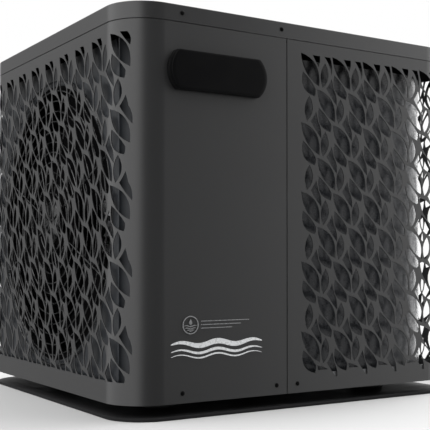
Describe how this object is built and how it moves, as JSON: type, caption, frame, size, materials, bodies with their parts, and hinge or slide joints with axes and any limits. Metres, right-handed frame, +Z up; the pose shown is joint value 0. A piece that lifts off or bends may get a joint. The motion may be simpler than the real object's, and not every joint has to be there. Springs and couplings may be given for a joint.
{
  "type": "pool heat pump unit",
  "caption": "Compact cube-shaped pool and spa heat pump with leaf-perforated metal casing, side fan and rear water unions.",
  "frame": {"origin": "on the ground, under the middle of the whole unit's box", "axes": "+Z up, -Y towards the front with the control module, -X towards the side that the fan blows out of"},
  "size_m": [0.5, 0.5404, 0.47],
  "materials": {
    "casing_paint": "fine-textured anthracite powder coat, satin",
    "deck_paint": "bluish grey painted sheet, brushed look",
    "galvanised_steel": "zinc-coated sheet",
    "black_plastic": "moulded, slightly glossy",
    "black_steel": "black coated wire and fasteners",
    "gloss_black": "polished touch face",
    "black_rubber": "matt",
    "coil_fins": "fine vertical fins with a dark coating",
    "copper_pipe": "drawn copper tube",
    "brass_fitting": "machined",
    "bright_steel": "plated",
    "titanium_tube": "drawn tube",
    "black_enamel": "semi-gloss enamel",
    "grey_pvc": "moulded PVC",
    "circuit_board": "green laminate",
    "light_badge": "light grey badge"
  },
  "bodies": {
    "casing": {"left_wrap_panel": "casing_paint", "right_wrap_panel": "casing_paint", "rear_panel": "casing_paint", "top_cover": "casing_paint", "fan_deck": "deck_paint", "base_pan": "galvanised_steel", "front_post": "galvanised_steel", "rear_left_post": "galvanised_steel", "rear_right_post": "galvanised_steel", "motor_bracket": "galvanised_steel", "coil_plate_front": "galvanised_steel", "coil_plate_rear": "galvanised_steel", "compressor_plate": "galvanised_steel", "electrical_box": "galvanised_steel", "electrical_lid": "galvanised_steel", "base_plate": "black_plastic", "control_housing": "black_plastic", "orifice_ring": "black_plastic", "cable_gland": "black_plastic", "flow_switch": "black_plastic", "fan_guard": "black_steel", "skirt_screw_left": "black_steel", "skirt_screw_right": "black_steel", "base_screw_corner": "black_steel", "base_screw_seam_left": "black_steel", "base_screw_seam_right": "black_steel", "control_glass": "gloss_black", "foot_front_left": "black_rubber", "foot_front_right": "black_rubber", "foot_rear_left": "black_rubber", "foot_rear_right": "black_rubber", "compressor_grommet_1": "black_rubber", "compressor_grommet_2": "black_rubber", "compressor_grommet_3": "black_rubber", "evaporator_coil": "coil_fins", "discharge_pipe": "copper_pipe", "suction_pipe": "copper_pipe", "condenser_pipe": "copper_pipe", "liquid_pipe": "copper_pipe", "evaporator_pipe": "copper_pipe", "filter_drier": "copper_pipe", "four_way_valve": "brass_fitting", "expansion_valve": "brass_fitting", "fan_motor": "bright_steel", "exchanger_tube": "titanium_tube", "compressor_shell": "black_enamel", "accumulator": "black_enamel", "exchanger_shell": "grey_pvc", "inlet_port": "grey_pvc", "outlet_port": "grey_pvc", "inlet_tailpiece": "grey_pvc", "outlet_tailpiece": "grey_pvc", "circuit_board": "circuit_board", "emblem_disc": "light_badge"},
    "fan": {"fan_rotor": "black_plastic", "fan_shaft": "bright_steel", "fan_nut": "bright_steel"},
    "inlet_nut": {"inlet_union_nut": "black_plastic"},
    "outlet_nut": {"outlet_union_nut": "black_plastic"},
    "paddle": {"flow_paddle": "bright_steel"}
  },
  "joints": [
    {"name": "fan_spin", "type": "hinge", "parent": "casing", "child": "fan", "pos_m": [-0.21, -0.02985, 0.228], "axis": [-1, 0, 0], "continuous": true},
    {"name": "inlet_nut_turn", "type": "hinge", "parent": "casing", "child": "inlet_nut", "pos_m": [0.05, 0.21815, 0.095], "axis": [0, 1, 0], "continuous": true},
    {"name": "outlet_nut_turn", "type": "hinge", "parent": "casing", "child": "outlet_nut", "pos_m": [0.05, 0.21815, 0.3], "axis": [0, 1, 0], "continuous": true},
    {"name": "flow_paddle_swing", "type": "hinge", "parent": "casing", "child": "paddle", "pos_m": [0.05, 0.17515, 0.1088], "axis": [-1, 0, 0], "range_deg": [0, 35], "stiffness_Nm_per_rad": 0.01}
  ]
}
